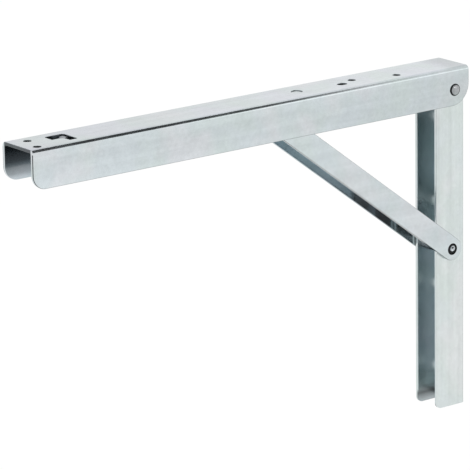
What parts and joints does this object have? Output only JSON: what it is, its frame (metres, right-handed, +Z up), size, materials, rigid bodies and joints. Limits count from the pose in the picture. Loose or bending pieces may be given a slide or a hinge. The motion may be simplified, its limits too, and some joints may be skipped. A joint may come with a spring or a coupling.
{
  "type": "drop leaf table bracket",
  "caption": "Folding bracket of zinc-plated steel channel: a level arm on a wall leg, braced by a sliding strut, folds flat down the wall.",
  "frame": {"origin": "centre of the row of wall screw holes, in the back face of the wall leg, which lies on the wall", "axes": "+Z up along the wall leg, -Y out from the wall along the open arm, +X across, to the right seen from the front"},
  "size_m": [0.031, 0.3011, 0.202],
  "materials": {
    "zinc_sheet": "bright zinc plating, smooth, faintly mottled",
    "zinc_rivet": "zinc-plated rivet steel, set by pressing",
    "zinc_turned": "zinc-plated turned steel",
    "spring_steel": "zinc-plated spring steel strip"
  },
  "bodies": {
    "leg": {"wall_leg_channel": "zinc_sheet", "arm_hinge_rivet": "zinc_rivet", "hinge_washer_left": "zinc_turned", "hinge_washer_right": "zinc_turned", "hinge_spacer_sleeve": "zinc_turned", "strut_foot_rivet": "zinc_rivet", "foot_spacer_sleeve": "zinc_turned"},
    "arm": {"arm_channel": "zinc_sheet", "release_spring_rivet": "zinc_rivet"},
    "strut": {"strut_bar_left": "zinc_sheet", "strut_bar_right": "zinc_sheet", "slide_pin": "zinc_rivet", "slide_bush": "zinc_turned"},
    "latch": {"release_spring": "spring_steel"}
  },
  "joints": [
    {"name": "arm_fold", "type": "hinge", "parent": "leg", "child": "arm", "pos_m": [0, -0.0115, 0.0972], "axis": [1, 0, 0], "range_deg": [0, 90]},
    {"name": "strut_swing", "type": "hinge", "parent": "leg", "child": "strut", "pos_m": [0, -0.0115, 0.003], "axis": [1, 0, 0], "range_deg": [0, 126.1]},
    {"name": "latch_release", "type": "hinge", "parent": "arm", "child": "latch", "pos_m": [0, -0.12054, 0.108], "axis": [1, 0, 0], "range_deg": [0, 5], "stiffness_Nm_per_rad": 8, "springref_deg": -1.72, "deforming": ["release_spring"]}
  ],
  "couplings": [
    {"joint": "strut_swing", "follows": "arm_fold", "ratio": 1.3989}
  ]
}
